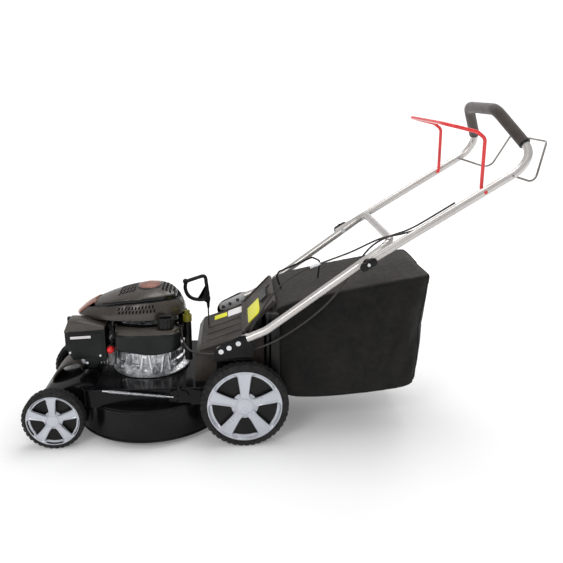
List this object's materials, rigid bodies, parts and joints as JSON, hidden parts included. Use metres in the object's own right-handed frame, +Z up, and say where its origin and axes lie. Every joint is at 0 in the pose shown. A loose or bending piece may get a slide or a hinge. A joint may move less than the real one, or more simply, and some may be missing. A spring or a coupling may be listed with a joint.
{
  "type": "walk-behind rotary lawn mower",
  "caption": "Self-propelled petrol walk-behind rotary mower with rear grass bag, folding handle, two control bails and central height adjustment.",
  "frame": {"origin": "middle of the footprint, on the ground under the wheels", "axes": "+X to the rear, +Y to the mower's right-hand side seen from the handle, +Z up"},
  "size_m": [1.6462, 0.566, 1.0585],
  "materials": {
    "black_paint": "gloss black powder coat on steel",
    "silver_paint": "silver-grey powder coat on steel tube",
    "red_coating": "red plastic-dipped steel rod",
    "bright_steel": "zinc-plated steel",
    "cast_aluminium": "as-cast aluminium",
    "black_plastic": "textured black moulding",
    "gloss_black_plastic": "smooth black-brown moulding",
    "silver_plastic": "silver-painted moulding",
    "tyre_rubber": "black tread rubber",
    "red_rubber": "soft red bulb",
    "grip_foam": "brown-black foam",
    "belt_rubber": "belt rubber",
    "cable_sheath": "black cable sheath",
    "bag_fabric": "black woven polyester",
    "yellow_plastic": "yellow moulding",
    "rope_fibre": "braided starter rope"
  },
  "bodies": {
    "root": {"air_filter_base": "black_plastic", "air_filter_cover": "black_plastic", "blower_housing": "black_paint", "brake_cable": "cable_sheath", "cable_adjuster": "bright_steel", "carburettor": "cast_aluminium", "crankcase": "cast_aluminium", "cylinder": "cast_aluminium", "deck_shell": "black_paint", "discharge_chute": "black_paint", "drive_belt": "belt_rubber", "drive_cable": "cable_sheath", "engine_bolts": "bright_steel", "engine_cover": "gloss_black_plastic", "flap_hinge_rod": "bright_steel", "flap_spring": "bright_steel", "front_carry_handle": "black_plastic", "fuel_tank": "black_plastic", "handle_bolts": "bright_steel", "handle_brackets": "black_paint", "height_assist_spring": "bright_steel", "height_sector": "black_paint", "lower_handle": "silver_paint", "muffler": "bright_steel", "muffler_guard": "black_paint", "oil_filler_tube": "black_plastic", "spark_plug": "black_plastic", "starter_rope": "rope_fibre"},
    "crank": {"crankshaft": "bright_steel", "flywheel": "cast_aluminium", "blade_adapter": "bright_steel", "blade": "bright_steel", "blade_bolt": "bright_steel"},
    "gear_pulley": {"gearbox_pulley": "bright_steel"},
    "transmission": {"gearbox": "cast_aluminium"},
    "rear_arms": {"rear_axle_arms": "black_paint"},
    "front_arms": {"front_axle": "bright_steel"},
    "link_rod": {"height_link_rod": "bright_steel"},
    "drive_axle": {"rear_axle": "bright_steel"},
    "rear_wheel_left": {"tyre_rear_left": "tyre_rubber", "wheel_rear_left": "silver_plastic"},
    "rear_wheel_right": {"tyre_rear_right": "tyre_rubber", "wheel_rear_right": "silver_plastic"},
    "front_wheel_left": {"tyre_front_left": "tyre_rubber", "wheel_front_left": "silver_plastic"},
    "front_wheel_right": {"tyre_front_right": "tyre_rubber", "wheel_front_right": "silver_plastic"},
    "folding_handle": {"upper_handle": "silver_paint", "foam_grip": "grip_foam"},
    "clamp_knob_left": {"knob_left": "black_plastic"},
    "clamp_knob_right": {"knob_right": "black_plastic"},
    "brake_bail": {"blade_brake_bail": "red_coating"},
    "traction_bail": {"drive_bail": "bright_steel"},
    "recoil_grip": {"starter_handle": "black_plastic"},
    "cap": {"fuel_cap": "black_plastic"},
    "dipstick": {"oil_dipstick": "yellow_plastic"},
    "primer": {"primer_bulb": "red_rubber"},
    "flap": {"discharge_flap": "black_plastic"},
    "bag": {"grass_bag": "bag_fabric", "bag_frame": "black_plastic"}
  },
  "joints": [
    {"name": "crank_spin", "type": "hinge", "parent": "root", "child": "crank", "pos_m": [-0.43712, 0, 0], "axis": [0, 0, 1], "continuous": true},
    {"name": "rear_arm_tilt", "type": "hinge", "parent": "root", "child": "rear_arms", "pos_m": [-0.17112, 0, 0.128], "axis": [0, 1, 0], "range_deg": [0, 45], "deforming": ["height_assist_spring", "drive_belt"]},
    {"name": "front_arm_tilt", "type": "hinge", "parent": "root", "child": "front_arms", "pos_m": [-0.77512, 0, 0.086], "axis": [0, 1, 0], "range_deg": [0, 45]},
    {"name": "link_rod_pivot", "type": "hinge", "parent": "rear_arms", "child": "link_rod", "pos_m": [-0.17112, 0, 0.162], "axis": [0, 1, 0], "range_deg": [-45, 0]},
    {"name": "gearbox_level", "type": "hinge", "parent": "rear_arms", "child": "transmission", "pos_m": [-0.12112, 0, 0.14], "axis": [0, 1, 0], "range_deg": [-45, 0]},
    {"name": "gear_pulley_spin", "type": "hinge", "parent": "transmission", "child": "gear_pulley", "pos_m": [-0.14313, 0, 0], "axis": [0, 0, 1], "continuous": true},
    {"name": "drive_axle_spin", "type": "hinge", "parent": "rear_arms", "child": "drive_axle", "pos_m": [-0.12112, 0, 0.14], "axis": [0, 1, 0], "continuous": true},
    {"name": "rear_wheel_left_spin", "type": "hinge", "parent": "rear_arms", "child": "rear_wheel_left", "pos_m": [-0.12112, 0, 0.14], "axis": [0, 1, 0], "continuous": true},
    {"name": "rear_wheel_right_spin", "type": "hinge", "parent": "rear_arms", "child": "rear_wheel_right", "pos_m": [-0.12112, 0, 0.14], "axis": [0, 1, 0], "continuous": true},
    {"name": "front_wheel_left_spin", "type": "hinge", "parent": "front_arms", "child": "front_wheel_left", "pos_m": [-0.72513, 0, 0.098], "axis": [0, 1, 0], "continuous": true},
    {"name": "front_wheel_right_spin", "type": "hinge", "parent": "front_arms", "child": "front_wheel_right", "pos_m": [-0.72513, 0, 0.098], "axis": [0, 1, 0], "continuous": true},
    {"name": "handle_fold", "type": "hinge", "parent": "root", "child": "folding_handle", "pos_m": [0.25288, 0, 0.6], "axis": [0, -1, 0], "range_deg": [0, 135], "deforming": ["brake_cable", "drive_cable"]},
    {"name": "knob_left_turn", "type": "hinge", "parent": "root", "child": "clamp_knob_left", "pos_m": [0.25288, 0, 0.6], "axis": [0, -1, 0], "continuous": true},
    {"name": "knob_right_turn", "type": "hinge", "parent": "root", "child": "clamp_knob_right", "pos_m": [0.25288, 0, 0.6], "axis": [0, 1, 0], "continuous": true},
    {"name": "brake_bail_squeeze", "type": "hinge", "parent": "folding_handle", "child": "brake_bail", "pos_m": [0.59588, 0, 0.80937], "axis": [0, 1, 0], "range_deg": [0, 40], "stiffness_Nm_per_rad": 2, "springref_deg": -17.19},
    {"name": "drive_bail_squeeze", "type": "hinge", "parent": "folding_handle", "child": "traction_bail", "pos_m": [0.67388, 0, 0.85698], "axis": [0, -1, 0], "range_deg": [0, 53], "stiffness_Nm_per_rad": 1, "springref_deg": -17.19},
    {"name": "starter_pull", "type": "slide", "parent": "root", "child": "recoil_grip", "axis": [0, 0, 1], "range_m": [0, 0.35], "stiffness_N_per_m": 20, "springref_m": -0.1, "deforming": ["starter_rope"]},
    {"name": "fuel_cap_turn", "type": "hinge", "parent": "root", "child": "cap", "pos_m": [-0.36812, -0.139, 0.38], "axis": [0, 0, 1], "range_deg": [0, 90]},
    {"name": "dipstick_lift", "type": "slide", "parent": "root", "child": "dipstick", "axis": [0, 0, 1], "range_m": [0, 0.14]},
    {"name": "primer_press", "type": "slide", "parent": "root", "child": "primer", "axis": [0, 1, 0], "range_m": [0, 0.006], "stiffness_N_per_m": 600, "springref_m": -0.002},
    {"name": "flap_lift", "type": "hinge", "parent": "root", "child": "flap", "pos_m": [-0.11713, 0, 0.35], "axis": [0, -1, 0], "range_deg": [0, 55], "stiffness_Nm_per_rad": 0.4, "springref_deg": -34.38},
    {"name": "bag_lift_off", "type": "slide", "parent": "root", "child": "bag", "axis": [0.9659, 0, 0.2588], "range_m": [0, 0.25]}
  ],
  "couplings": [
    {"joint": "front_arm_tilt", "follows": "rear_arm_tilt", "ratio": 1},
    {"joint": "link_rod_pivot", "follows": "rear_arm_tilt", "ratio": -1},
    {"joint": "gearbox_level", "follows": "rear_arm_tilt", "ratio": -1},
    {"joint": "gear_pulley_spin", "follows": "crank_spin", "ratio": 0.8}
  ]
}
